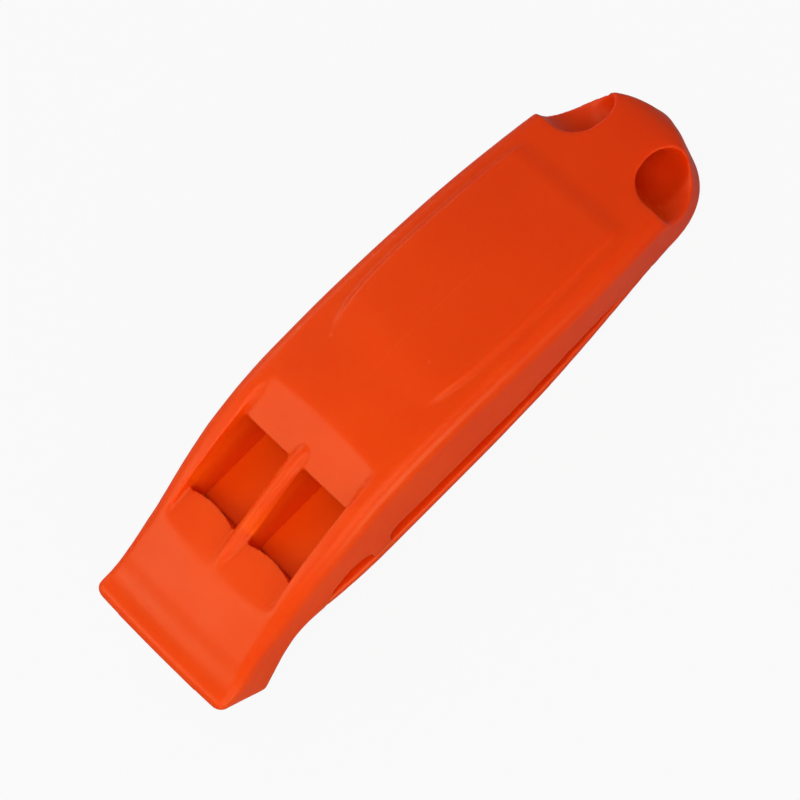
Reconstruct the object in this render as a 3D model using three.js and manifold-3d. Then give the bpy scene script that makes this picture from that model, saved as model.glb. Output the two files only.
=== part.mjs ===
// A flat two-tone signal whistle in moulded plastic: one hollow body moulding,
// closed from below by a welded cover. Millimetres, +Z up, +X towards the lanyard end.
import * as THREE from "three";
import { mergeVertices } from "three/addons/utils/BufferGeometryUtils.js";
import Module from "manifold-3d";

const wasm = await Module();
wasm.setup();

// Overall form
const length = 73.1; // upper lip to tail
const originX = 40; // distance from the lip to the part's origin
const lipStart = -0.35; // the lips' rounding reaches ahead to here
const lipSetback = 4.9; // the lower lip stands this far behind the upper lip
const setbackEnd = 18; // behind this, the cross-sections are upright
const edgeGrowth = 12; // the upper edges' rounding grows over this length
const edgeRadius = 1.5; // rounding along the upper edges
const lipEdgeRadius = 0.7; // the same rounding at the lips
const footRadius = 0.5; // rounding along the lower edges
const crown = 0.25; // rise of the top face at its middle
const tailStart = 63.9; // the outline rounds off from here to the tail
const tailFullness = { top: 1.9, bottom: 2.3 }; // 2 would make that end an ellipse in plan
const tailLean = 0.6; // at the tail, the bottom ends this far short of the top
const lipRounding = 1.5; // taken off the sides at the lips, and half as much off the height
const lipReach = 0.9; // length of that rounding

// Top and bottom lines in side view, and half widths in plan: [distance from the lip, value]
const topLine = profile([
  [0, 0.1], [0.9, 0.62], [2, 0.72], [3, 0.98], [5.2, 2.15], [9.6, 4.1], [14.9, 6.5], [20.8, 8.35],
  [24.7, 9.25], [28.6, 9.68], [34.5, 9.75], [40.4, 9.5], [49, 8.8], [59, 7.8], [63.5, 7.25],
  [66, 7], [68.5, 6.75], [70.6, 6.45], [71.8, 6.1], [72.7, 5.5], [length, 4.9],
]);
const bottomLine = profile([
  [0, -4.15], [4.4, -4.4], [5.2, -4.25], [6.4, -3.35], [8.9, -1.25], [11, 0], [13, 0.42], [15, 0.32],
  [17.5, 0.06], [19.5, 0], [length, 0],
]);
const topHalfWidth = profile([
  [0, 9.72], [2.6, 9.68], [5.5, 9.5], [9, 9.65], [13.5, 9.85], [17, 10.08], [20, 10.25], [30, 10.3], [42, 10.35],
  [49, 10.3], [54, 10.15], [59, 9.85], [tailStart, 9.5],
]);
const bottomHalfWidth = profile([
  [0, 9.36], [6, 9.45], [10, 9.65], [14, 9.9], [18, 10.12], [22, 10.3], [36, 10.33], [44, 10.2],
  [50, 9.85], [56, 9.35], [60, 8.98], [tailStart, 8.7],
]);

// Sound windows: a sloping face sunk between two side ridges, with a ledge in front of each window
const faceStart = 9;
const faceEnd = 27.5;
const faceLine = profile([
  [faceStart, topLine(faceStart) + crown], [9.8, 4.12], [11.5, 4.45], [14.1, 5.05], [18, 6.35], [22.6, 7.92],
  [25, 8.85], [faceEnd, topLine(faceEnd) + crown],
]);
const windowHalfWidth = 7.75;
const windowEnd = 22.6;
const relief = 0.1; // hollows that open into each other step back by this
const ledgeEnd = 13.7; // at the sides of a window
const ledgeBulge = 0.6; // the ledge reaches this much further in the middle of a window
const labiumThickness = 0.35;

// Rib between the windows
const ribHalf = 1;
const ribFrontHalf = 0.65;
const ribStart = 9.7;
const ribEnd = 24.8;
const ribRise = 0.85; // above the sloping face
const ribLine = profile([
  [ribStart, 0.05], [12.5, 0.6], [16, ribRise], [21, 0.8], [23.5, 0.35], [ribEnd, -0.15],
]); // height of the rib above the face

// Windways and mouth
const windwaySlope = THREE.MathUtils.degToRad(23.4);
const windwayHeight = 1.1;
const windwayHalfWidth = 7.3;
const lipThickness = 0.5; // of the ledge, over the windway's end
const throat = 8.5; // the mouth narrows to the windways by here
const upperLip = 0.85; // thickness of the lips at the end face
const lowerLip = 1.1;

// Chambers: the two are of unlike length, for two tones
const wall = 1.3;
const septumHalf = 0.7;
const chamberHalfWidth = windowHalfWidth + relief;
const chamberStart = 14.6;
const chamberBrow = 13.4; // the front wall of a chamber leans ahead to here, under the ledge
const leftChamberEnd = 49;
const rightChamberEnd = 44.5;
const windowFloor = 4; // the windows are cut down to here
const pocketStart = 50.6; // cored out behind the chambers
const pocketEnd = 60.6;
const pocketHalfWidth = 7.2;

// Thumb pad
const padStart = 33.6;
const padEnd = 61.6;
const padStep = 0.42;
const padBevel = 0.45;
const padFade = 5; // the step grows over this length
const padHalfWidth = profile([
  [padStart, 6.7], [35.5, 7.2], [38, 7.75], [41, 8.1], [46, 8.25], [52, 8.12], [57, 7.85],
  [60.2, 7.5], [61.1, 7.1], [padEnd, 6.3],
]);

// Base cover, with the side slots above its edges
const coverStart = 14.3;
const coverEnd = 62.2;
const coverThickness = 1.2;
const footing = coverThickness / 2; // hollows are cut down to here, within the cover's seat
const clearance = 0.25;
const seam = 0.05; // weld line between the cover and the walls that stand on it
const slotDepth = 1.3;
const coverInset = 0.12; // the cover's edge stands this far inside the body's outline
const frontSlot = { start: 14.3, end: 21.6, height: 3.0 };
const rearSlot = { start: 23.9, end: 62.2, height: 2.9, taper: 14 };

// Lanyard passage
const passageX = 67.8;
const scoopCentre = { y: 6.5, z: 6.9 }; // from here out, the scoop runs straight to the side
const scoopRadius = { x: 3.6, y: 3.6, z: 3.9 };
const tunnelCentre = 4.15;
const tunnelRadius = { x: 2.6, z: 1.35 };

// Fineness of the form, and a level clear of it
const frontStations = 20;
const tailSteps = 18;
const floorPitch = 2;
const finest = 0.012; // slivers left by the cuts are cleaned away below this size
const below = -2;

// Cubic curve through knots of [x, value], flat past its ends.
function profile(knots) {
  const slope = knots.map(([x, v], i) => {
    const [xa, va] = knots[Math.max(i - 1, 0)];
    const [xb, vb] = knots[Math.min(i + 1, knots.length - 1)];
    const before = i > 0 ? (v - va) / (x - xa) : (vb - v) / (xb - x);
    const after = i < knots.length - 1 ? (vb - v) / (xb - x) : before;
    return before * after <= 0 ? 0 : (2 * before * after) / (before + after);
  });
  return (x) => {
    if (x <= knots[0][0]) return knots[0][1];
    const i = knots.findIndex(([k]) => k >= x);
    if (i < 0) return knots[knots.length - 1][1];
    const [x0, v0] = knots[i - 1];
    const [x1, v1] = knots[i];
    const h = x1 - x0;
    const t = (x - x0) / h;
    const a = v0 * (1 + 2 * t) * (1 - t) ** 2 + v1 * t * t * (3 - 2 * t);
    return a + h * t * (1 - t) * (slope[i - 1] * (1 - t) - slope[i] * t);
  };
}

// Solid made of rings of points, closed by a fan at each end.
function loft(rings) {
  const count = rings[0].length;
  const positions = [];
  const index = [];
  for (const ring of rings) for (const p of ring) positions.push(p.x, p.y, p.z);
  for (let r = 0; r + 1 < rings.length; r++) {
    for (let i = 0; i < count; i++) {
      const a = r * count + i;
      const b = r * count + ((i + 1) % count);
      index.push(a, a + count, b, b, a + count, b + count);
    }
  }
  for (const end of [0, rings.length - 1]) {
    const centre = new THREE.Vector3();
    rings[end].forEach((p) => centre.addScaledVector(p, 1 / count));
    const middle = positions.length / 3;
    positions.push(centre.x, centre.y, centre.z);
    for (let i = 0; i < count; i++) {
      const a = end * count + i;
      const b = end * count + ((i + 1) % count);
      index.push(...(end === 0 ? [middle, a, b] : [middle, b, a]));
    }
  }
  const geometry = new THREE.BufferGeometry();
  geometry.setAttribute("position", new THREE.Float32BufferAttribute(positions, 3));
  geometry.setIndex(index);
  return geometry;
}

// A closed geometry as a solid that can be cut and joined, and back again.
function solid(geometry) {
  const bare = geometry.clone();
  bare.deleteAttribute("normal");
  bare.deleteAttribute("uv");
  const merged = mergeVertices(bare, 1e-4);
  const made = new wasm.Manifold(
    new wasm.Mesh({
      numProp: 3,
      vertProperties: merged.attributes.position.array,
      triVerts: new Uint32Array(merged.index.array),
    }),
  );
  return made;
}

function geometryOf(body) {
  const { numProp, vertProperties, triVerts } = body.asOriginal().simplify(finest).getMesh();
  const count = vertProperties.length / numProp;
  const positions = new Float32Array(count * 3);
  for (let i = 0; i < count; i++) {
    positions.set(vertProperties.subarray(i * numProp, i * numProp + 3), i * 3);
  }
  const geometry = new THREE.BufferGeometry();
  geometry.setAttribute("position", new THREE.BufferAttribute(positions, 3));
  geometry.setIndex(new THREE.BufferAttribute(triVerts, 1));
  geometry.computeVertexNormals();
  return geometry;
}

// Outline of [x, z] points, extruded across the whistle from one y to another.
function acrossPrism(points, from, to) {
  const shape = new THREE.Shape(points.map(([x, z]) => new THREE.Vector2(x, z)));
  const geometry = new THREE.ExtrudeGeometry(shape, { depth: to - from, bevelEnabled: false });
  return solid(geometry.rotateX(Math.PI / 2).translate(0, to, 0));
}

// Outline of [x, y] points, extruded upwards from one z to another.
function uprightPrism(points, from, to) {
  const shape = new THREE.Shape(points.map(([x, y]) => new THREE.Vector2(x, y)));
  const geometry = new THREE.ExtrudeGeometry(shape, { depth: to - from, bevelEnabled: false });
  return solid(geometry.translate(0, 0, from));
}

function box(x0, x1, y0, y1, z0, z1) {
  const geometry = new THREE.BoxGeometry(x1 - x0, y1 - y0, z1 - z0);
  return solid(geometry.translate((x0 + x1) / 2, (y0 + y1) / 2, (z0 + z1) / 2));
}

// Points of a line [x, value] at even steps.
function sampled(line, from, to, steps) {
  return Array.from({ length: steps + 1 }, (_, i) => {
    const x = from + ((to - from) * i) / steps;
    return [x, line(x)];
  });
}

// Height of the thumb pad's step: it fades in at the front and ends short at the back.
function padStepAt(x) {
  if (x <= padStart || x >= padEnd - 0.01) return 0;
  const t = Math.min(1, (x - padStart) / padFade);
  return padStep * t * t * (3 - 2 * t);
}

// Half of a cross-section, from the middle of the top to the middle of the bottom, as [y, height].
function sectionHalf(height, halfTop, halfBottom, upper, lower, rise, x) {
  const arch = (y) => height + rise * (1 - (y / halfTop) ** 2);
  const step = padStepAt(x);
  const flat = halfTop - upper;
  const padFoot = Math.min(padHalfWidth(x), 0.9 * flat);
  const padHead = Math.max(padFoot - padBevel, 0.8 * padFoot);
  const points = [];
  for (const y of [0, 0.35 * padHead, 0.7 * padHead, padHead]) points.push([y, arch(y) + step]);
  points.push([padFoot, arch(padFoot)]);
  for (const turn of [0, 0.25, 0.5, 0.75, 1]) {
    const angle = (turn * Math.PI) / 2;
    const y = flat + upper * Math.sin(angle);
    points.push([y, arch(y) - upper * (1 - Math.cos(angle))]);
  }
  for (const turn of [0, 0.5, 1]) {
    const angle = (turn * Math.PI) / 2;
    points.push([halfBottom - lower + lower * Math.cos(angle), lower * (1 - Math.sin(angle))]);
  }
  points.push([0, 0]);
  return points;
}

// Share of the width left at a share of the way from the tail's start to its end.
function tailNarrowing(share, fullness) {
  return Math.max(0, 1 - share ** fullness) ** (1 / fullness);
}

// Ring round the whistle at a distance from the lip, drawn in by an inset.
function ring(x, insetSide, insetHeight) {
  const share = Math.max(0, x - tailStart) / (length - tailStart);
  const setback = lipSetback * Math.max(0, 1 - x / setbackEnd) ** 1.5 - tailLean * share ** 2;
  const top = new THREE.Vector2(x, topLine(x));
  const bottom = new THREE.Vector2(x + setback, bottomLine(x + setback));
  const axis = top.clone().sub(bottom);
  const height = axis.length();
  axis.divideScalar(height);
  const halfTop = topHalfWidth(x) * tailNarrowing(share, tailFullness.top) - insetSide;
  const halfBottom = bottomHalfWidth(bottom.x) * tailNarrowing(share, tailFullness.bottom) - insetSide;
  const grown = Math.min(1, x / edgeGrowth);
  const upper = Math.min(lipEdgeRadius + (edgeRadius - lipEdgeRadius) * grown, halfTop * 0.8);
  const lower = Math.min(footRadius, halfBottom * 0.6);
  const crownHere = crown * tailNarrowing(share, tailFullness.top);
  const half = sectionHalf(height - 2 * insetHeight, halfTop, halfBottom, upper, lower, crownHere, x);
  const around = [...half, ...half.slice(1, -1).reverse().map(([y, h]) => [-y, h])];
  return around.map(([y, h]) => {
    const along = h + insetHeight;
    return new THREE.Vector3(bottom.x + axis.x * along, y, bottom.y + axis.y * along);
  });
}

// The outside of the whole whistle as one solid, or the same drawn in at the sides.
function outerForm(insetSide) {
  const rings = [
    ring(lipStart, lipRounding + insetSide, lipRounding / 2),
    ring(lipStart + lipReach / 6, lipRounding / 2 + insetSide, lipRounding / 5),
    ring(lipStart + lipReach / 2, lipRounding / 6 + insetSide, lipRounding / 20),
    ring(lipStart + lipReach, insetSide, 0),
  ];
  const stations = [padEnd - padBevel, padEnd];
  for (let x = 0.9; x < frontStations; x += 0.9) stations.push(x);
  for (let x = frontStations; x < tailStart; x += 1.6) stations.push(x);
  stations.sort((a, b) => a - b);
  for (const x of stations) rings.push(ring(x, insetSide, 0));
  for (let i = 0; i < tailSteps; i++) {
    const angle = (i / tailSteps) * (Math.PI / 2);
    rings.push(ring(tailStart + (length - tailStart) * Math.sin(angle), insetSide, 0));
  }
  return solid(loft(rings));
}

// The rib between the windows: a rounded blade with its foot far below the face.
function ribForm() {
  const rings = [];
  const root = 3;
  for (const [x, rise] of sampled(ribLine, ribStart - 0.4, ribEnd, 16)) {
    const share = (x - ribStart) / (windowEnd - ribStart);
    const half = THREE.MathUtils.lerp(ribFrontHalf, ribHalf - relief, THREE.MathUtils.clamp(share, 0, 1));
    const top = faceLine(x) + rise;
    const points = [[half, top - root], [-half, top - root]];
    for (const turn of [0, 0.2, 0.4, 0.6, 0.8, 1]) {
      const angle = turn * Math.PI;
      points.push([-half * Math.cos(angle), top - half + half * Math.sin(angle)]);
    }
    rings.push(points.map(([y, z]) => new THREE.Vector3(x, y, z)));
  }
  return solid(loft(rings));
}

// The sloping face's recess, without the rib that stands in it.
function faceRecess() {
  const above = 16;
  const outline = [...sampled(faceLine, faceStart, faceEnd, 14), [faceEnd, above], [faceStart, above]];
  const half = windowHalfWidth + relief / 2;
  return acrossPrism(outline, -half, half).subtract(ribForm());
}

// One window, open from the chamber up; side is 1 on the left and -1 on the right.
function windowHole(side) {
  const points = [[windowEnd, windowHalfWidth], [windowEnd, ribHalf]];
  const steps = 8;
  for (let i = 0; i <= steps; i++) {
    const y = THREE.MathUtils.lerp(ribHalf, windowHalfWidth, i / steps);
    points.push([ledgeEnd + ledgeBulge * Math.sin((Math.PI * i) / steps), y]);
  }
  return uprightPrism(points.map(([x, y]) => [x, side * y]), windowFloor, faceLine(windowEnd) + 3);
}

// One resonance chamber, open below, with its roof running out to the labium's edge.
function chamber(side, end) {
  const roof = sampled((x) => topLine(x) - wall, faceEnd, end, 8).reverse();
  const edge = faceLine(windowEnd) - labiumThickness;
  const slope = (topLine(faceEnd) - wall - edge) / (faceEnd - windowEnd);
  const ahead = 0.8; // the roof's line runs on past the labium's edge into the open window
  const outline = [
    [chamberStart, footing], [end, footing], ...roof,
    [windowEnd - ahead, edge - slope * ahead], [chamberBrow, windowFloor + relief],
  ];
  return sidePrism(outline, side, septumHalf, chamberHalfWidth);
}

// A prism across one half of the whistle.
function sidePrism(outline, side, inner, outer) {
  return side > 0 ? acrossPrism(outline, inner, outer) : acrossPrism(outline, -outer, -inner);
}

// The windways' roof and floor, as lines that end over the chamber.
function windwayRoof(x) {
  return faceLine(ledgeEnd) - lipThickness + (x - ledgeEnd) * Math.tan(windwaySlope);
}

function windwayFloor(x) {
  return windwayRoof(x) - windwayHeight / Math.cos(windwaySlope);
}

function windway(side) {
  const from = throat - 0.5;
  const to = chamberStart + 0.2;
  const outline = [
    [from, windwayFloor(from)], [to, windwayFloor(to)], [to, windwayRoof(to)], [from, windwayRoof(from)],
  ];
  return sidePrism(outline, side, septumHalf + relief / 2, windwayHalfWidth);
}

// The mouth's opening in the slanting end face, narrowing to the windways.
function mouthOpening() {
  const upper = new THREE.Vector2(0, topLine(0));
  const lower = new THREE.Vector2(lipSetback, bottomLine(lipSetback));
  const along = lower.clone().sub(upper).normalize();
  const outwards = new THREE.Vector2(along.y, -along.x).multiplyScalar(2);
  const first = upper.clone().addScaledVector(along, upperLip);
  const last = lower.clone().addScaledVector(along, -lowerLip);
  const outline = [
    first.clone().add(outwards), last.clone().add(outwards), last,
    new THREE.Vector2(throat, windwayFloor(throat)), new THREE.Vector2(throat, windwayRoof(throat)), first,
  ];
  const half = windwayHalfWidth + relief;
  return acrossPrism(outline.map((p) => [p.x, p.y]), -half, half);
}

// The hollow behind the chambers, cored out from below.
function corePocket() {
  const roof = sampled((x) => topLine(x) - wall, pocketStart, pocketEnd, 4).reverse();
  const outline = [[pocketStart, footing], [pocketEnd, footing], ...roof];
  const left = sidePrism(outline, 1, septumHalf, pocketHalfWidth);
  return left.add(sidePrism(outline, -1, septumHalf, pocketHalfWidth));
}

// A scoop in one side of the tail: a bullet form that points inwards.
function scoop(side) {
  const around = 28;
  const steps = 9;
  const rings = [];
  for (let i = 1; i <= steps + 1; i++) {
    const angle = (Math.min(i, steps) / steps) * (Math.PI / 2);
    const size = Math.sin(angle);
    const y = i > steps ? length / 4 : scoopCentre.y - scoopRadius.y * Math.cos(angle);
    const ringPoints = Array.from({ length: around }, (_, k) => {
      const turn = (side * k * 2 * Math.PI) / around;
      const x = passageX - scoopRadius.x * size * Math.sin(turn);
      return new THREE.Vector3(x, side * y, scoopCentre.z + scoopRadius.z * size * Math.cos(turn));
    });
    rings.push(ringPoints);
  }
  return solid(loft(rings));
}

// The lanyard passage: the two scoops, joined by a tunnel under the bridge.
function lanyardPassage() {
  const bore = new THREE.CylinderGeometry(1, 1, 2 * scoopCentre.y, 24);
  bore.scale(tunnelRadius.x, 1, tunnelRadius.z);
  return scoop(1).add(scoop(-1)).add(solid(bore.translate(passageX, 0, tunnelCentre)));
}

// Side view of a slot over the cover's edge, drawn in by an inset.
function frontSlotOutline(inset) {
  const { start, end, height } = frontSlot;
  const shape = new THREE.Shape();
  shape.moveTo(start + inset, below);
  shape.lineTo(start + inset, 0);
  shape.quadraticCurveTo(start + 2.4, height - inset, end - 1.8, height - inset);
  shape.quadraticCurveTo(end - inset, height - inset, end - inset, height - 1.5);
  shape.lineTo(end - inset, below);
  return shape.getPoints(8).map((p) => [p.x, p.y]);
}

function rearSlotOutline(inset) {
  const { start, end, height, taper } = rearSlot;
  const shape = new THREE.Shape();
  shape.moveTo(start + inset, below);
  shape.lineTo(start + inset, height - 1.4);
  shape.quadraticCurveTo(start + inset, height - inset, start + 1.6, height - inset);
  shape.lineTo(end - taper, height - 0.3 - inset);
  shape.quadraticCurveTo(end - taper / 2, height - 0.5 - inset, end - inset, 0);
  shape.lineTo(end - inset, below);
  return shape.getPoints(8).map((p) => [p.x, p.y]);
}

// Upright prism between the two side walls' inner faces, from one x to another.
function floorPrism(from, to, inset, z0, z1) {
  const stations = [from];
  for (let x = Math.ceil(from / floorPitch) * floorPitch; x < to; x += floorPitch) stations.push(x);
  stations.push(to);
  const left = stations.map((x) => [x, bottomHalfWidth(x) - slotDepth - inset]);
  const right = left.map(([x, y]) => [x, -y]).reverse();
  return uprightPrism([...right, ...left], z0, z1);
}

function slots(inset) {
  const across = length;
  return acrossPrism(frontSlotOutline(inset), -across, across).add(
    acrossPrism(rearSlotOutline(inset), -across, across),
  );
}

function bodyShell() {
  const core = floorPrism(coverStart - 2, coverEnd + 2, relief, below - 1, frontSlot.height + 2);
  return outerForm(0)
    .subtract(faceRecess())
    .subtract(windowHole(1))
    .subtract(windowHole(-1))
    .subtract(chamber(1, leftChamberEnd))
    .subtract(chamber(-1, rightChamberEnd))
    .subtract(windway(1))
    .subtract(windway(-1))
    .subtract(mouthOpening())
    .subtract(corePocket())
    .subtract(lanyardPassage())
    .subtract(floorPrism(coverStart - clearance, coverEnd + clearance, 0, below, coverThickness + seam))
    .subtract(slots(0).subtract(core));
}

function baseCover() {
  const plate = floorPrism(coverStart, coverEnd, clearance, 0, coverThickness);
  const slab = box(coverStart, coverEnd, -length, length, 0, coverThickness);
  const edges = outerForm(coverInset).intersect(slots(clearance)).intersect(slab);
  return plate.add(edges);
}

function piece(name, body, material) {
  const mesh = new THREE.Mesh(geometryOf(body), material);
  mesh.name = name;
  mesh.position.x = -originX;
  return mesh;
}

const orange = { color: 0xe8481a, roughness: 0.42, metalness: 0 };
const whistle = new THREE.Group();
whistle.name = "signal_whistle";
whistle.add(piece("body_shell", bodyShell(), new THREE.MeshStandardMaterial(orange)));
whistle.add(piece("base_cover", baseCover(), new THREE.MeshStandardMaterial(orange)));

export default whistle;
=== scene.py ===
import math

import bpy
import numpy as np
from mathutils import Euler, Matrix, Vector


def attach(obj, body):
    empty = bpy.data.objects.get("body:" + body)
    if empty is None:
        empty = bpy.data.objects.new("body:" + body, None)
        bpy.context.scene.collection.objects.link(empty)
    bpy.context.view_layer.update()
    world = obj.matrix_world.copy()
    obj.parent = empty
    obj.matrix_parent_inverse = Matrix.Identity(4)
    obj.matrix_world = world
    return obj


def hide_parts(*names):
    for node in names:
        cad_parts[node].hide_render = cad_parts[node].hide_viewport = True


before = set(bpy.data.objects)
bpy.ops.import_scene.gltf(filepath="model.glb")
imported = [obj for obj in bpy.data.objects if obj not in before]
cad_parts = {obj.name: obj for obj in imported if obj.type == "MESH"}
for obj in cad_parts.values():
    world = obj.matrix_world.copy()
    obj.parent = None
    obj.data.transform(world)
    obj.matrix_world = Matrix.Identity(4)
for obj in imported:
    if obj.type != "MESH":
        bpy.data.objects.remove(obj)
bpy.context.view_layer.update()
scene = bpy.context.scene

MM = 0.001

# Overall form, in mm from the upper lip
LENGTH = 73.1
ORIGIN_X = 40.0
LIP_START = -0.3
LIP_SETBACK = 4.9
SETBACK_END = 18.0
EDGE_GROWTH = 12.0
EDGE_RADIUS = 1.5
LIP_EDGE_RADIUS = 0.7
FOOT_RADIUS = 0.5
CROWN = 0.25
TAIL_START = 63.9
TOP_FULLNESS = 1.84
BOTTOM_FULLNESS = 2.3
TAIL_LEAN = 0.5
TAIL_REACH = math.radians(84.9)
LIP_ROUNDING = 1.5
LIP_REACH = 0.9

# Sound windows, rib, windways and chambers
FACE_START = 8.8
FACE_END = 27.5
WINDOW_HALF = 7.75
WINDOW_END = 22.6
RELIEF = 0.02
LEDGE_END = 13.7
LEDGE_BULGE = 0.6
LABIUM = 0.35
RIB_HALF = 1.0
RIB_FRONT_HALF = 0.65
RIB_START = 9.7
RIB_END = 24.8
RIB_ROOT = 3.0
WINDWAY_SLOPE = math.radians(23.4)
WINDWAY_HEIGHT = 1.1
WINDWAY_HALF = 7.3
LIP_THICKNESS = 0.5
THROAT = 8.5
UPPER_LIP = 0.85
LOWER_LIP = 1.1
WALL = 1.3
SEPTUM_HALF = 0.7
CHAMBER_START = 14.6
CHAMBER_BROW = 13.4
ROOF_AHEAD = 0.8
CHAMBER_ENDS = {1: 49.0, -1: 44.5}
WINDOW_FLOOR = 4.0
POCKET = (50.6, 60.6, 7.2)

# Thumb pad
PAD_START = 33.6
PAD_END = 61.6
PAD_STEP = 0.41
PAD_BEVEL = 0.65
PAD_REAR_BEVEL = 2.4
PAD_FADE = 5.0

# Base cover and side slots
COVER_START = 14.3
COVER_END = 62.2
COVER_THICKNESS = 1.2
FOOTING = 0.6
CLEARANCE = 0.25
COVER_CLEARANCE = 0.03
SEAM = 0.05
SLOT_DEPTH = 1.3
COVER_INSET = 0.03
FRONT_SLOT = (14.3, 21.6, 3.0)
FRONT_SWEEP = 2.4
FRONT_CORNER = (1.8, 1.5)
REAR_SLOT = (23.9, 62.2, 2.9)
REAR_CORNER = (1.6, 1.4)
REAR_TAPER = 14.0
REAR_FALL = (0.3, 0.5)
WEB_OVERLAP = 1.0
APART = 0.01
BELOW = -2.0
ABOVE = 16.0

# Lanyard passage
PASSAGE_X = 67.75
PASSAGE_REACH = (6.5, 18.0)

# Fineness of the skins
VOXEL = 0.16
BODY_PASSES = 5
COVER_PASSES = 2
SOFT_PASSES = 40
TOP_STEPS = 90
EDGE_STEPS = 14
FOOT_STEPS = 7
LIP_STEPS = 10
TAIL_STEPS = 48
FIRST_STATION = 0.8
FINE_END = 33
FINE_STEP = 0.25
COARSE_STEP = 0.3

# Colours of the plastic, painted highlight, shade and light among them, and how deep light goes into it, in
# metres
CLOUD_DARK = (0.82, 0.056, 0.0004, 1)
CLOUD_LIGHT = (0.88, 0.067, 0.0006, 1)
# Painted highlight on edges that stand out
EDGE_HIGHLIGHT = (1.0, 0.15, 0.05, 1)
# Painted shade towards the tail, where less light falls
TAIL_SHADE = (0.70, 0.031, 0.0004, 1)
CENTRE_LINE_TONE = (0.95, 0.12, 0.02, 1)
# Painted light inside the windows and chambers, for light that comes through the walls
HOLLOW_LIGHT = (1.0, 0.088, 0.0010, 1)
DUST_TONE = (0.95, 0.35, 0.2, 1)
GLOSS_TINT = (1.0, 0.88, 0.45, 1)
DEPTH_COLOUR = (1.0, 0.3, 0.06)
DEPTH_SHARE = 0.85
DEPTH = 0.0012

# Floor, in mm: the whistle leans on its lower lip and on the end of its tail, FLOOR_RUN behind it
FLOOR_DROP = 4.46
FLOOR_RISE = 4.4
FLOOR_RUN = 67.0
FLOOR_HALF = 3000.0
FLOOR_GREY = (0.33, 0.33, 0.33, 1)
FLOOR_WHITE = 0.93

# Light and camera: places in metres, power in watts, turns in degrees, lens and sensor in mm
WORLD_LIGHT = 0.37
LAMP_SIZE = 0.3
LAMPS = {
    "front": ((-0.12, -0.15, 0.35), (0, 0, 0), 0.58),
    "veil": ((-0.38, 0.27, 0.37), (-0.02, 0, 0), 0.78),
    "left": ((0.0, 0.45, 0.30), (0, 0, 0), 0.45),
    "side": ((-0.05, -0.50, 0.14), (0, 0, 0), 1.0),
}
CAMERA_PLACE = (-0.03876, -0.17104, 0.35440)
CAMERA_TURN = (21.9658, 14.7523, -43.2834)
CAMERA_LENS = 179.325
SENSOR_WIDTH = 36.0


def profile(knots):
    """Cubic curve through knots of (x, value), flat past its ends."""
    xs = np.array([k[0] for k in knots], float)
    vs = np.array([k[1] for k in knots], float)
    rise = np.diff(vs) / np.diff(xs)
    before = np.concatenate([[rise[0]], rise])
    after = np.concatenate([rise, [rise[-1]]])
    level = before * after <= 0
    slope = np.where(level, 0.0, 2 * before * after / np.where(level, 1.0, before + after))

    def value(x):
        x = np.clip(x, xs[0], xs[-1])
        i = np.clip(np.searchsorted(xs, x, side="left"), 1, len(xs) - 1)
        h = xs[i] - xs[i - 1]
        t = (x - xs[i - 1]) / h
        ends = vs[i - 1] * (1 + 2 * t) * (1 - t) ** 2 + vs[i] * t * t * (3 - 2 * t)
        return ends + h * t * (1 - t) * (slope[i - 1] * (1 - t) - slope[i] * t)

    return value


TOP_LINE = profile([
    (0, 0.1), (0.9, 0.62), (2, 0.72), (3, 0.98), (5.2, 2.15), (9.6, 4.1), (14.9, 6.5), (20.8, 8.35),
    (24.7, 9.25), (28.6, 9.68), (34.5, 9.75), (40.4, 9.5), (49, 8.8), (59, 7.8), (63.5, 7.25),
    (66, 7), (68.5, 6.75), (70.6, 6.4), (71.8, 5.9), (72.6, 5.1), (LENGTH, 4.1),
])
BOTTOM_LINE = profile([
    (0, -4.15), (4.4, -4.4), (5.2, -4.25), (6.4, -3.35), (8.9, -1.25), (11, 0), (13, 0.42), (15, 0.32),
    (17.5, 0.06), (19.5, 0), (LENGTH, 0),
])
TOP_HALF = profile([
    (0, 9.72), (2.6, 9.68), (5.5, 9.5), (9, 9.65), (13.5, 9.85), (17, 10.08), (20, 10.25), (30, 10.3),
    (42, 10.35), (49, 10.3), (54, 10.15), (59, 9.85), (TAIL_START, 9.5),
])
BOTTOM_HALF = profile([
    (0, 9.36), (6, 9.45), (10, 9.65), (14, 9.9), (18, 10.12), (22, 10.3), (36, 10.33), (44, 10.2),
    (50, 9.85), (56, 9.35), (60, 8.98), (TAIL_START, 8.7),
])
FACE_LINE = profile([
    (FACE_START, float(TOP_LINE(FACE_START)) + CROWN), (9.6, 4.27), (11.5, 4.6), (14.1, 5.05),
    (18, 6.35), (22.6, 7.92), (25, 8.85),
    (FACE_END, float(TOP_LINE(FACE_END)) + CROWN),
])
RIB_LINE = profile([
    (RIB_START, 0.05), (12.5, 0.6), (16, 0.85), (21, 0.8), (23.5, 0.35), (RIB_END, -0.15),
])
PAD_HALF = profile([
    (PAD_START, 6.7), (35.5, 7.2), (38, 7.75), (41, 8.1), (46, 8.25), (52, 8.12), (57, 7.9),
    (59, 7.72), (60.2, 7.55), (PAD_END, 7.3),
])
PASSAGE_TOP = profile([
    (0, 5.4), (1.4, 5.45), (2.3, 5.8), (3.3, 6.95), (4, 8), (4.8, 9), (5.6, 9.9), (PASSAGE_REACH[0], 10.8),
])
PASSAGE_BOTTOM = profile([(0, 2.6), (3, 2.65), (5, 2.9), (PASSAGE_REACH[0], 3.3)])
PASSAGE_HALF = profile([
    (0, 2.2), (1.5, 2.25), (2.8, 2.4), (3.5, 2.6), (4.5, 2.95), (5.5, 3.25), (PASSAGE_REACH[0], 3.42),
])


def smooth(t):
    """0 up to 0, 1 from 1 on, and an even rise between them."""
    t = np.clip(t, 0, 1)
    return t * t * (3 - 2 * t)


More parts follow.
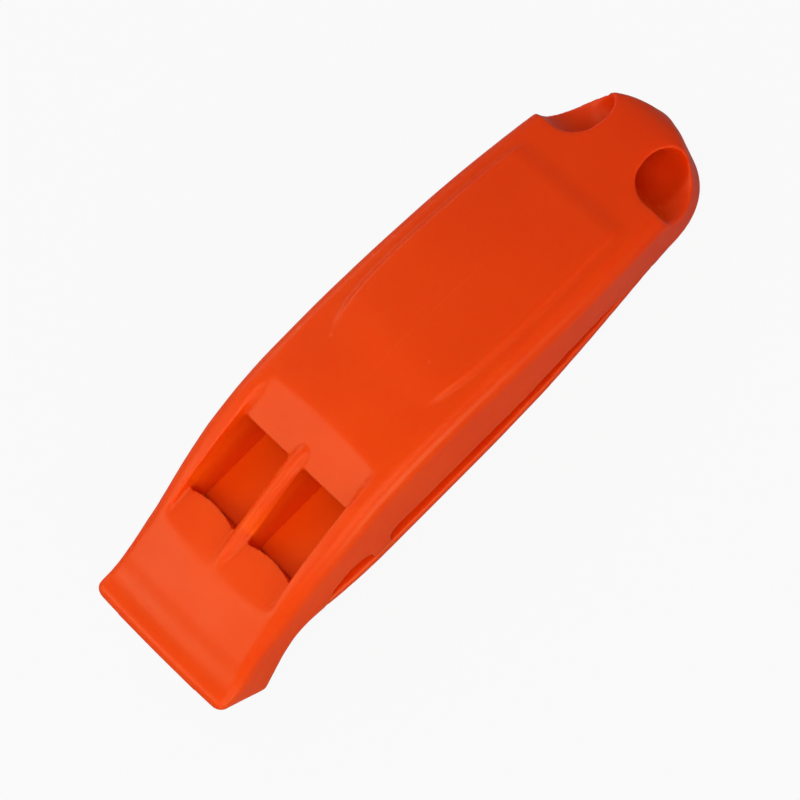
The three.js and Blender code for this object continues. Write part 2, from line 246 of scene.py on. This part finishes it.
def mesh_object(name, verts, faces):
    mesh = bpy.data.meshes.new(name)
    mesh.from_pydata([tuple(map(float, v)) for v in verts], [], faces)
    mesh.validate()
    thing = bpy.data.objects.new(name, mesh)
    scene.collection.objects.link(thing)
    return thing


def loft(name, rings):
    """Closed body made of rings that run clockwise seen from +X."""
    count = len(rings[0])
    verts = [p for r in rings for p in r]
    faces = []
    for r in range(len(rings) - 1):
        for i in range(count):
            a = r * count + i
            b = r * count + (i + 1) % count
            faces.append((a, a + count, b + count, b))
    faces.append(tuple(range(count)))
    faces.append(tuple(reversed(range((len(rings) - 1) * count, len(rings) * count))))
    return mesh_object(name, verts, faces)


def prism(name, outline, low, high, axis):
    """Outline of (x, value) pairs, extruded along Y or Z from low to high."""
    area = sum(a[0] * b[1] - b[0] * a[1] for a, b in zip(outline, outline[1:] + outline[:1]))
    ccw = outline if area > 0 else outline[::-1]
    n = len(ccw)
    if axis == "Z":
        verts = [(x, y, z) for z in (low, high) for x, y in ccw]
    else:
        verts = [(x, y, z) for y in (high, low) for x, z in ccw]
    faces = [tuple(reversed(range(n))), tuple(range(n, 2 * n))]
    faces += [(i, (i + 1) % n, n + (i + 1) % n, n + i) for i in range(n)]
    return mesh_object(name, verts, faces)


def box(name, low, high):
    """Block between two corners."""
    outline = [(low[0], low[1]), (high[0], low[1]), (high[0], high[1]), (low[0], high[1])]
    return prism(name, outline, low[2], high[2], "Z")


def cut(target, cutters, how="DIFFERENCE"):
    """The target after each cutter is taken away from it, kept to, or joined to it."""
    for cutter in cutters:
        mod = target.modifiers.new(cutter.name, "BOOLEAN")
        mod.operation = how
        mod.solver = "MANIFOLD"
        mod.object = cutter
    settle(target)
    for cutter in cutters:
        bpy.data.objects.remove(cutter)
    return target


def settle(thing):
    """Applies the object's modifiers to its mesh."""
    bpy.context.view_layer.update()
    graph = bpy.context.evaluated_depsgraph_get()
    mesh = bpy.data.meshes.new_from_object(thing.evaluated_get(graph), depsgraph=graph)
    old = thing.data
    thing.modifiers.clear()
    thing.data = mesh
    bpy.data.meshes.remove(old)


# The outside


def pad_step(x):
    """Height of the thumb pad over the top, at a distance from the lip."""
    front = smooth((x - PAD_START) / PAD_FADE)
    back = smooth((PAD_END - x) / PAD_REAR_BEVEL)
    return PAD_STEP * front * back


def section_half(height, half_top, half_bottom, upper, lower, rise, x):
    """Half of a cross-section as (y, height), from the middle of the top to the middle of the bottom."""
    flat = half_top - upper
    ys = np.linspace(0, flat, TOP_STEPS)
    arch = height + rise * (1 - (ys / half_top) ** 2)
    foot = float(PAD_HALF(x))
    raised = smooth((foot - ys) / PAD_BEVEL)
    points = list(zip(ys, arch + pad_step(x) * raised))
    for turn in np.linspace(0.06, 1, EDGE_STEPS):
        angle = turn * math.pi / 2
        y = flat + upper * math.sin(angle)
        points.append((y, height + rise * (1 - (y / half_top) ** 2) - upper * (1 - math.cos(angle))))
    for turn in np.linspace(0, 1, FOOT_STEPS):
        angle = turn * math.pi / 2
        points.append((half_bottom - lower + lower * math.cos(angle), lower * (1 - math.sin(angle))))
    points.append((0, 0))
    return points


def narrowing(share, fullness):
    """Share of the width left at a share of the way from the tail's start to its end."""
    return max(0.0, 1 - share**fullness) ** (1 / fullness)


def ring(x, inset, drop):
    """Ring round the whistle at x, drawn in by an inset at the sides and a drop in height."""
    share = max(0.0, x - TAIL_START) / (LENGTH - TAIL_START)
    setback = LIP_SETBACK * max(0.0, 1 - x / SETBACK_END) ** 1.5 - TAIL_LEAN * share**2
    top = np.array([x, float(TOP_LINE(x))])
    bottom = np.array([x + setback, float(BOTTOM_LINE(x + setback))])
    axis = top - bottom
    height = float(np.hypot(*axis))
    axis /= height
    narrowed = narrowing(share, TOP_FULLNESS)
    half_top = float(TOP_HALF(x)) * narrowed - inset
    half_bottom = float(BOTTOM_HALF(x + setback)) * narrowing(share, BOTTOM_FULLNESS) - inset
    grown = min(1.0, max(0.0, x) / EDGE_GROWTH)
    upper = min(LIP_EDGE_RADIUS + (EDGE_RADIUS - LIP_EDGE_RADIUS) * grown, half_top * 0.8)
    lower = min(FOOT_RADIUS, half_bottom * 0.6)
    half = section_half(height - 2 * drop, half_top, half_bottom, upper, lower, CROWN * narrowed, x)
    around = half + [(-y, h) for y, h in half[-2:0:-1]]
    return [(bottom[0] + axis[0] * (h + drop), y, bottom[1] + axis[1] * (h + drop)) for y, h in around]


def outer_form(name, inset):
    """The whole outside without openings, drawn in by the inset."""
    made = []
    for t in np.linspace(0.05, math.pi / 2, LIP_STEPS):
        shrink = LIP_ROUNDING * (1 - math.sin(t))
        made.append(ring(LIP_START + LIP_REACH * (1 - math.cos(t)), inset + shrink, shrink / 2))
    stations = [*np.arange(FIRST_STATION, FINE_END, FINE_STEP)]
    stations += [*np.arange(FINE_END, TAIL_START, COARSE_STEP)]
    made += [ring(float(x), inset, 0.0) for x in stations]
    for angle in np.linspace(0, TAIL_REACH, TAIL_STEPS):
        made.append(ring(TAIL_START + (LENGTH - TAIL_START) * math.sin(angle), inset, 0.0))
    return loft(name, made)


# The windows


def rib_form():
    """The round-topped rib between the windows."""
    rings = []
    for x in np.linspace(RIB_START - 0.4, RIB_END, 60):
        share = min(1.0, max(0.0, (x - RIB_START) / (WINDOW_END - RIB_START)))
        half = RIB_FRONT_HALF + (RIB_HALF - RELIEF - RIB_FRONT_HALF) * share
        top = float(FACE_LINE(x)) + float(RIB_LINE(x))
        points = [(half, top - RIB_ROOT), (-half, top - RIB_ROOT)]
        points += [
            (-half * math.cos(a), top - half + half * math.sin(a)) for a in np.linspace(0, math.pi, 15)
        ]
        rings.append([(x, y, z) for y, z in points])
    return loft("rib", rings)


def face_recess():
    """All that is cut away over the windows' slope, round the rib."""
    xs = np.linspace(FACE_START, FACE_END, 60)
    outline = [(float(x), float(FACE_LINE(x))) for x in xs] + [(FACE_END, ABOVE), (FACE_START, ABOVE)]
    half = WINDOW_HALF + RELIEF / 2
    return cut(prism("recess", outline, -half, half, "Y"), [rib_form()])


def window_hole(side):
    """One window, with its ledge's curved edge at the front."""
    points = [(WINDOW_END, WINDOW_HALF), (WINDOW_END, RIB_HALF)]
    for t in np.linspace(0, 1, 17):
        y = RIB_HALF + (WINDOW_HALF - RIB_HALF) * t
        points.append((LEDGE_END + LEDGE_BULGE * math.sin(math.pi * t), y))
    outline = [(float(x), side * float(y)) for x, y in points]
    return prism("window", outline, WINDOW_FLOOR, float(FACE_LINE(WINDOW_END)) + 3, "Z")


def side_prism(name, outline, side, inner, outer):
    """Outline extruded on one side only, between two distances from the middle."""
    low, high = (inner, outer) if side > 0 else (-outer, -inner)
    return prism(name, [(float(x), float(z)) for x, z in outline], low, high, "Y")


def chamber(side):
    """One chamber, whose roof ends ahead in the window's sharp edge."""
    end = CHAMBER_ENDS[side]
    roof = [(x, float(TOP_LINE(x)) - WALL) for x in np.linspace(FACE_END, end, 24)][::-1]
    edge = float(FACE_LINE(WINDOW_END)) - LABIUM
    slope = (float(TOP_LINE(FACE_END)) - WALL - edge) / (FACE_END - WINDOW_END)
    outline = [(CHAMBER_START, FOOTING), (end, FOOTING), *roof]
    outline += [(WINDOW_END - ROOF_AHEAD, edge - slope * ROOF_AHEAD), (CHAMBER_BROW, WINDOW_FLOOR + RELIEF)]
    return side_prism("chamber", outline, side, SEPTUM_HALF, WINDOW_HALF + RELIEF)


def windway_roof(x):
    return float(FACE_LINE(LEDGE_END)) - LIP_THICKNESS + (x - LEDGE_END) * math.tan(WINDWAY_SLOPE)


def windway_floor(x):
    return windway_roof(x) - WINDWAY_HEIGHT / math.cos(WINDWAY_SLOPE)


def windway(side):
    """One flat channel from the mouth to its window."""
    a = THROAT - 0.5
    b = CHAMBER_START + 0.2
    outline = [(a, windway_floor(a)), (b, windway_floor(b)), (b, windway_roof(b)), (a, windway_roof(a))]
    return side_prism("windway", outline, side, SEPTUM_HALF + RELIEF / 2, WINDWAY_HALF)


def mouth_opening():
    """The opening between the lips, narrowing to the windways' throat."""
    upper = np.array([0.0, float(TOP_LINE(0))])
    lower = np.array([LIP_SETBACK, float(BOTTOM_LINE(LIP_SETBACK))])
    along = (lower - upper) / np.linalg.norm(lower - upper)
    outwards = 2 * np.array([along[1], -along[0]])
    first = upper + along * UPPER_LIP
    last = lower - along * LOWER_LIP
    throat = [(THROAT, windway_floor(THROAT)), (THROAT, windway_roof(THROAT))]
    outline = [tuple(first + outwards), tuple(last + outwards), tuple(last), *throat, tuple(first)]
    half = WINDWAY_HALF + RELIEF
    return prism("mouth", [(float(x), float(z)) for x, z in outline], -half, half, "Y")


def pocket(side):
    """A cored pocket behind one chamber."""
    start, end, half = POCKET
    roof = [(x, float(TOP_LINE(x)) - WALL) for x in np.linspace(start, end, 8)][::-1]
    return side_prism("pocket", [(start, FOOTING), (end, FOOTING), *roof], side, SEPTUM_HALF, half)


def passage():
    """The lanyard's way through the tail: narrow under the bridge, and widening to a scoop at each side."""
    rings = []
    inner = np.linspace(0, PASSAGE_REACH[0], 60)
    ways = [-PASSAGE_REACH[1], *(-inner[:0:-1]), *inner, PASSAGE_REACH[1]]
    for y in ways:
        top = float(PASSAGE_TOP(abs(y)))
        bottom = float(PASSAGE_BOTTOM(abs(y)))
        half = float(PASSAGE_HALF(abs(y)))
        middle = (top + bottom) / 2
        turns = np.linspace(0, 2 * math.pi, 72, endpoint=False)
        rings.append([
            (PASSAGE_X - half * math.sin(t), float(y), middle + (top - middle) * math.cos(t)) for t in turns
        ])
    return loft("passage", rings)


# The side slots and the cover


def add_curve(points, start, corner, end, steps=14):
    """Adds a quadratic curve from the start, bent towards the corner, to the end."""
    start, corner, end = np.array(start), np.array(corner), np.array(end)
    for t in np.linspace(0, 1, steps):
        points.append(tuple((1 - t) ** 2 * start + 2 * t * (1 - t) * corner + t * t * end))


def front_slot(inset, reach):
    """The short slot behind the mouthpiece: a long sweep in front and a rounded corner behind."""
    start, end, height = FRONT_SLOT
    start, end, height = start + inset, end - inset, height - inset
    run, fall = FRONT_CORNER
    bend = FRONT_SLOT[1] - run
    points = [(start, BELOW)]
    add_curve(points, (start, 0), (FRONT_SLOT[0] + FRONT_SWEEP, height), (bend, height))
    add_curve(points, (bend + APART, height), (end, height), (end, FRONT_SLOT[2] - fall))
    points.append((end, BELOW))
    return prism("front_slot", [(float(x), float(z)) for x, z in points], *reach, "Y")


def rear_slot(inset, reach):
    """The long slot behind the web, which tapers to nothing at its end."""
    start, end, height = REAR_SLOT
    run, fall = REAR_CORNER
    points = [(start + inset, BELOW)]
    add_curve(
        points,
        (start + inset, height - fall),
        (start + inset, height - inset),
        (start + run, height - inset),
    )
    add_curve(
        points,
        (end - REAR_TAPER, height - REAR_FALL[0] - inset),
        (end - REAR_TAPER / 2, height - REAR_FALL[1] - inset),
        (end - inset, 0),
    )
    points.append((end - inset, BELOW))
    return prism("rear_slot", [(float(x), float(z)) for x, z in points], *reach, "Y")


def floor_prism(start, end, inset, low, high):
    """Slab between the side walls' inner faces, from low to high."""
    xs = np.linspace(start, end, 60)
    left = [(float(x), float(BOTTOM_HALF(x)) - SLOT_DEPTH - inset) for x in xs]
    return prism("floor", [(x, -y) for x, y in left][::-1] + left, low, high, "Z")


def slot_cutters():
    """The two slots on both sides, without the core between the side walls' inner faces."""
    made = []
    for shape in (front_slot, rear_slot):
        slot = shape(0.0, (-LENGTH, LENGTH))
        core = floor_prism(COVER_START - 2, COVER_END + 2, RELIEF, BELOW - 1, FRONT_SLOT[2] + 2)
        made.append(cut(slot, [core]))
    return made


def refine(thing, voxel, passes):
    """Even fine mesh over the body, with its edges softened as a mould leaves them."""
    remesh = thing.modifiers.new("even", "REMESH")
    remesh.mode = "VOXEL"
    remesh.voxel_size = voxel
    relax = thing.modifiers.new("relax", "SMOOTH")
    relax.factor = 0.5
    relax.iterations = passes
    settle(thing)


def soften(thing, weight, passes):
    """Extra smoothing where weight, a function of the points' x, y and z, is over zero."""
    count = len(thing.data.vertices)
    co = np.empty(count * 3)
    thing.data.vertices.foreach_get("co", co)
    x, y, z = co.reshape(-1, 3).T
    share = np.clip(weight(x, y, z), 0, 1)
    group = thing.vertex_groups.new(name="soft")
    for level in np.unique(np.round(share[share > 0.02], 1)):
        chosen = np.nonzero((np.round(share, 1) == level) & (share > 0.02))[0]
        group.add(chosen.tolist(), float(level), "REPLACE")
    mod = thing.modifiers.new("soften", "SMOOTH")
    mod.factor = 0.5
    mod.iterations = passes
    mod.vertex_group = "soft"
    settle(thing)
    thing.vertex_groups.clear()


def bump(value, middle, half, fade):
    """1 within half of the middle, falling to 0 over the fade."""
    return 1 - smooth((np.abs(value - middle) - half) / fade)


def soft_places(x, y, z):
    """Where the mould is rounder: the slope's ends and ridges, the tail's corners, the scoops' rims."""
    side = np.abs(y)
    crease = bump(x, FACE_END - 0.2, 0.8, 1.4) * smooth((z - 8.8) / 0.3)
    step = bump(x, FACE_START + 0.6, 1.0, 0.9) * bump(z, 4.1, 0.7, 0.4)
    ridges = bump(x, 25.6, 2.2, 0.8) * bump(side, WINDOW_HALF, 0.7, 0.5) * smooth((z - 8.0) / 0.5)
    corners = bump(x, 64.2, 0.9, 0.6) * smooth((side - 7.6) / 0.8) * smooth((z - 2.4) / 0.8)
    rims = 0.5 * bump(x, PASSAGE_X, 3.9, 0.5) * smooth((side - 2.2) / 0.5) * smooth((z - 2.2) / 0.6)
    return np.max([crease, step, ridges, corners, rims], axis=0)


def to_row_frame(thing):
    """From millimetres behind the lip to metres from the row's origin, with smooth shading."""
    thing.data.transform(Matrix.Scale(MM, 4) @ Matrix.Translation((-ORIGIN_X, 0, 0)))
    thing.data.polygons.foreach_set("use_smooth", [True] * len(thing.data.polygons))
    thing.data.update()


def web_box(name, low, high):
    """Block across the web between the two slots, a little longer than the web."""
    start = FRONT_SLOT[1] - WEB_OVERLAP
    end = REAR_SLOT[0] + WEB_OVERLAP
    return box(name, (start, -LENGTH, low), (end, LENGTH, high))


def body_shell():
    shell = outer_form("whistle_body", 0.0)
    cutters = [face_recess(), window_hole(1), window_hole(-1), chamber(1), chamber(-1)]
    cutters += [windway(1), windway(-1), mouth_opening(), pocket(1), pocket(-1), passage()]
    cutters.append(
        floor_prism(COVER_START - CLEARANCE, COVER_END + CLEARANCE, 0, BELOW, COVER_THICKNESS + SEAM)
    )
    cutters += slot_cutters()
    cutters.append(web_box("web_foot", BELOW, COVER_THICKNESS + SEAM))
    cut(shell, cutters)
    refine(shell, VOXEL, BODY_PASSES)
    soften(shell, soft_places, SOFT_PASSES)
    return shell


def base_cover():
    plate = floor_prism(COVER_START, COVER_END, CLEARANCE, 0, COVER_THICKNESS)
    plate.name = "whistle_cover"
    edges = []
    for shape in (front_slot, rear_slot):
        edge = outer_form("edge", COVER_INSET)
        slab = box("slab", (COVER_START, -LENGTH, 0), (COVER_END, LENGTH, COVER_THICKNESS))
        cut(edge, [shape(COVER_CLEARANCE, (-LENGTH, LENGTH)), slab], "INTERSECT")
        edges.append(edge)
    under_web = web_box("under_web", 0, COVER_THICKNESS)
    edges.append(cut(outer_form("edge", COVER_INSET), [under_web], "INTERSECT"))
    cut(plate, edges, "UNION")
    refine(plate, VOXEL, COVER_PASSES)
    return plate


# Material


def noise(nodes, link, place, scale, detail):
    made = nodes.new("ShaderNodeTexNoise")
    made.inputs["Scale"].default_value = scale
    made.inputs["Detail"].default_value = detail
    link(place.outputs["Object"], made.inputs["Vector"])
    return made


def spread(nodes, link, source, low, high, to_low, to_high):
    """The source's value, moved from low to high onto another range."""
    made = nodes.new("ShaderNodeMapRange")
    made.inputs["From Min"].default_value = low
    made.inputs["From Max"].default_value = high
    made.inputs["To Min"].default_value = to_low
    made.inputs["To Max"].default_value = to_high
    link(source, made.inputs["Value"])
    return made.outputs["Result"]


def blend_colour(nodes, link, share, base, over):
    """A share of a plain colour over the base, through the mix node's colour sockets."""
    made = nodes.new("ShaderNodeMix")
    made.data_type = "RGBA"
    link(share, made.inputs["Factor"])
    link(base, made.inputs[6])
    made.inputs[7].default_value = over
    return made.outputs[2]


def times(nodes, link, a, b):
    made = nodes.new("ShaderNodeMath")
    made.operation = "MULTIPLY"
    link(a, made.inputs[0])
    if isinstance(b, float):
        made.inputs[1].default_value = b
    else:
        link(b, made.inputs[1])
    return made.outputs[0]


def product(nodes, link, first, *others):
    for other in others:
        first = times(nodes, link, first, other)
    return first


def cloudy_tone(nodes, link, place):
    cloud = noise(nodes, link, place, 90.0, 4.0)
    tone = nodes.new("ShaderNodeValToRGB")
    tone.color_ramp.elements[0].position = 0.3
    tone.color_ramp.elements[0].color = CLOUD_DARK
    tone.color_ramp.elements[1].position = 0.7
    tone.color_ramp.elements[1].color = CLOUD_LIGHT
    link(cloud.outputs["Fac"], tone.inputs["Fac"])
    return tone.outputs["Color"]


def painted_edge_highlight(nodes, link):
    """Painted highlight: edges that stand out are painted paler."""
    shape = nodes.new("ShaderNodeNewGeometry")
    return spread(nodes, link, shape.outputs["Pointiness"], 0.51, 0.56, 0.0, 0.3)


def top_centre_line(nodes, link, place, x, z, side):
    """A faint broken line along the middle of the top."""
    drift = noise(nodes, link, place, 40.0, 2.0)
    middle = spread(nodes, link, side, 0.0, 0.00012, 1.0, 0.0)
    behind = spread(nodes, link, x, -0.011, -0.009, 0.0, 1.0)
    before = spread(nodes, link, x, 0.017, 0.022, 1.0, 0.0)
    above = spread(nodes, link, z, 0.0062, 0.0066, 0.0, 1.0)
    broken = spread(nodes, link, drift.outputs["Fac"], 0.42, 0.6, 0.0, 0.4)
    return product(nodes, link, middle, behind, above, broken, before)


def hollows(nodes, link, x, z, side):
    """The inside of the windows and of the chambers below them."""
    behind = spread(nodes, link, x, -0.0257, -0.0253, 0.0, 1.0)
    before = spread(nodes, link, x, 0.010, 0.012, 1.0, 0.0)
    within = spread(nodes, link, side, 0.0079, 0.0081, 1.0, 0.0)
    below = spread(nodes, link, z, 0.0055, 0.0070, 1.0, 0.0)
    above = spread(nodes, link, z, 0.0006, 0.0008, 0.0, 1.0)
    return product(nodes, link, behind, before, within, below, above)


def dust(nodes, link, place):
    """Sparse specks."""
    cells = nodes.new("ShaderNodeTexVoronoi")
    cells.inputs["Scale"].default_value = 240.0
    link(place.outputs["Object"], cells.inputs["Vector"])
    dot = spread(nodes, link, cells.outputs["Distance"], 0.012, 0.03, 1.0, 0.0)
    pick = nodes.new("ShaderNodeSeparateColor")
    link(cells.outputs["Color"], pick.inputs["Color"])
    chosen = spread(nodes, link, pick.outputs["Red"], 0.93, 0.95, 0.0, 0.5)
    return times(nodes, link, dot, chosen)


def relief(nodes, link, height, strength, distance, under=None):
    """Bumps of a height texture, laid over those that are already there."""
    made = nodes.new("ShaderNodeBump")
    made.inputs["Strength"].default_value = strength
    made.inputs["Distance"].default_value = distance
    link(height, made.inputs["Height"])
    if under:
        link(under, made.inputs["Normal"])
    return made.outputs["Normal"]


def plastic():
    """Satin orange plastic with some depth, with painted light in its colour: a painted highlight on edges
    that stand out, painted shade towards the tail, and painted light in the hollows, where light comes
    through the walls.
    """
    mat = bpy.data.materials.new("orange_plastic")
    mat.use_nodes = True
    nodes = mat.node_tree.nodes
    link = mat.node_tree.links.new
    nodes.clear()
    out = nodes.new("ShaderNodeOutputMaterial")
    shader = nodes.new("ShaderNodeBsdfPrincipled")
    link(shader.outputs["BSDF"], out.inputs["Surface"])
    shader.inputs["IOR"].default_value = 1.49
    shader.inputs["Specular IOR Level"].default_value = 0.26
    shader.inputs["Specular Tint"].default_value = GLOSS_TINT
    shader.inputs["Subsurface Radius"].default_value = DEPTH_COLOUR
    shader.inputs["Subsurface Scale"].default_value = DEPTH

    place = nodes.new("ShaderNodeTexCoord")
    axes = nodes.new("ShaderNodeSeparateXYZ")
    link(place.outputs["Object"], axes.inputs["Vector"])
    x = axes.outputs["X"]
    z = axes.outputs["Z"]
    away = nodes.new("ShaderNodeMath")
    away.operation = "ABSOLUTE"
    link(axes.outputs["Y"], away.inputs[0])
    side = away.outputs[0]

    # Painted shade: darker towards the tail, where less light falls
    tail_shade = spread(nodes, link, x, -0.012, 0.033, 0.0, 0.85)
    hollow = hollows(nodes, link, x, z, side)
    layers = [
        # Painted highlight on edges that stand out
        (painted_edge_highlight(nodes, link), EDGE_HIGHLIGHT),
        (tail_shade, TAIL_SHADE),
        (top_centre_line(nodes, link, place, x, z, side), CENTRE_LINE_TONE),
        # Painted light in the hollows, for light that comes through the walls
        (hollow, HOLLOW_LIGHT),
        (dust(nodes, link, place), DUST_TONE),
    ]
    colour = cloudy_tone(nodes, link, place)
    for share, over in layers:
        colour = blend_colour(nodes, link, share, colour, over)
    link(colour, shader.inputs["Base Color"])
    link(spread(nodes, link, hollow, 0.0, 1.0, DEPTH_SHARE, 0.0), shader.inputs["Subsurface Weight"])

    wave = noise(nodes, link, place, 260.0, 2.0)
    grain = noise(nodes, link, place, 5200.0, 2.0)
    link(spread(nodes, link, wave.outputs["Fac"], 0.25, 0.75, 0.31, 0.38), shader.inputs["Roughness"])
    fine = relief(nodes, link, grain.outputs["Fac"], 0.25, 0.00002)
    link(relief(nodes, link, wave.outputs["Fac"], 0.3, 0.00006, fine), shader.inputs["Normal"])
    return mat


# Light, floor and camera


def white_when_seen(tree, shade, white_kind, share, output):
    """A share of plain white for the rays from the camera and through glass, over the shade itself."""
    nodes = tree.nodes
    link = tree.links.new
    ray = nodes.new("ShaderNodeLightPath")
    seen = nodes.new("ShaderNodeMath")
    seen.operation = "MAXIMUM"
    link(ray.outputs["Is Camera Ray"], seen.inputs[0])
    link(ray.outputs["Is Transmission Ray"], seen.inputs[1])
    mix = nodes.new("ShaderNodeMixShader")
    white = nodes.new(white_kind)
    white.inputs["Color"].default_value = (1, 1, 1, 1)
    white.inputs["Strength"].default_value = 1.0
    link(times(nodes, link, seen.outputs[0], share), mix.inputs["Fac"])
    link(shade, mix.inputs[1])
    link(white.outputs[0], mix.inputs[2])
    link(mix.outputs[0], output.inputs["Surface"])


def studio_world():
    world = bpy.data.worlds.new("studio")
    scene.world = world
    world.use_nodes = True
    nodes = world.node_tree.nodes
    nodes.clear()
    out = nodes.new("ShaderNodeOutputWorld")
    back = nodes.new("ShaderNodeBackground")
    back.inputs["Color"].default_value = (1, 1, 1, 1)
    back.inputs["Strength"].default_value = WORLD_LIGHT
    white_when_seen(world.node_tree, back.outputs[0], "ShaderNodeBackground", 1.0, out)


def floor_paper():
    """Grey paper that the camera sees nearly white, with a faint shadow."""
    mat = bpy.data.materials.new("floor_paper")
    mat.use_nodes = True
    nodes = mat.node_tree.nodes
    nodes.clear()
    out = nodes.new("ShaderNodeOutputMaterial")
    paper = nodes.new("ShaderNodeBsdfDiffuse")
    paper.inputs["Color"].default_value = FLOOR_GREY
    white_when_seen(mat.node_tree, paper.outputs[0], "ShaderNodeEmission", FLOOR_WHITE, out)
    return mat


def table():
    """The floor, tilted so that the lower lip and the end of the tail stand on it."""
    half = FLOOR_HALF * MM
    corners = [(-half, -half, 0), (half, -half, 0), (half, half, 0), (-half, half, 0)]
    mesh = bpy.data.meshes.new("floor")
    mesh.from_pydata(corners, [], [(0, 1, 2, 3)])
    floor = bpy.data.objects.new("floor", mesh)
    floor.location = ((LIP_SETBACK - ORIGIN_X) * MM, 0, -FLOOR_DROP * MM)
    floor.rotation_euler = (0, -math.atan2(FLOOR_RISE, FLOOR_RUN), 0)
    scene.collection.objects.link(floor)
    mesh.materials.append(floor_paper())


def lamp(name, place, target, watts):
    data = bpy.data.lights.new(name, "AREA")
    data.shape = "DISK"
    data.size = LAMP_SIZE
    data.energy = watts
    thing = bpy.data.objects.new(name, data)
    thing.location = place
    thing.rotation_euler = (Vector(target) - Vector(place)).to_track_quat("-Z", "Y").to_euler()
    scene.collection.objects.link(thing)


def camera():
    data = bpy.data.cameras.new("camera")
    data.sensor_width = SENSOR_WIDTH
    data.lens = CAMERA_LENS
    data.clip_start = 0.01
    data.clip_end = 20.0
    thing = bpy.data.objects.new("camera", data)
    thing.location = CAMERA_PLACE
    thing.rotation_euler = Euler([math.radians(a) for a in CAMERA_TURN], "XYZ")
    scene.collection.objects.link(thing)
    scene.camera = thing


# The scene


body = body_shell()
cover = base_cover()
orange = plastic()
for thing, node in ((body, "body_shell"), (cover, "base_cover")):
    to_row_frame(thing)
    thing.data.materials.clear()
    thing.data.materials.append(orange)
    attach(thing, "root")
    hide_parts(node)

studio_world()
table()
for name, (place, target, watts) in LAMPS.items():
    lamp(name, place, target, watts)
camera()

scene.view_settings.view_transform = "Standard"
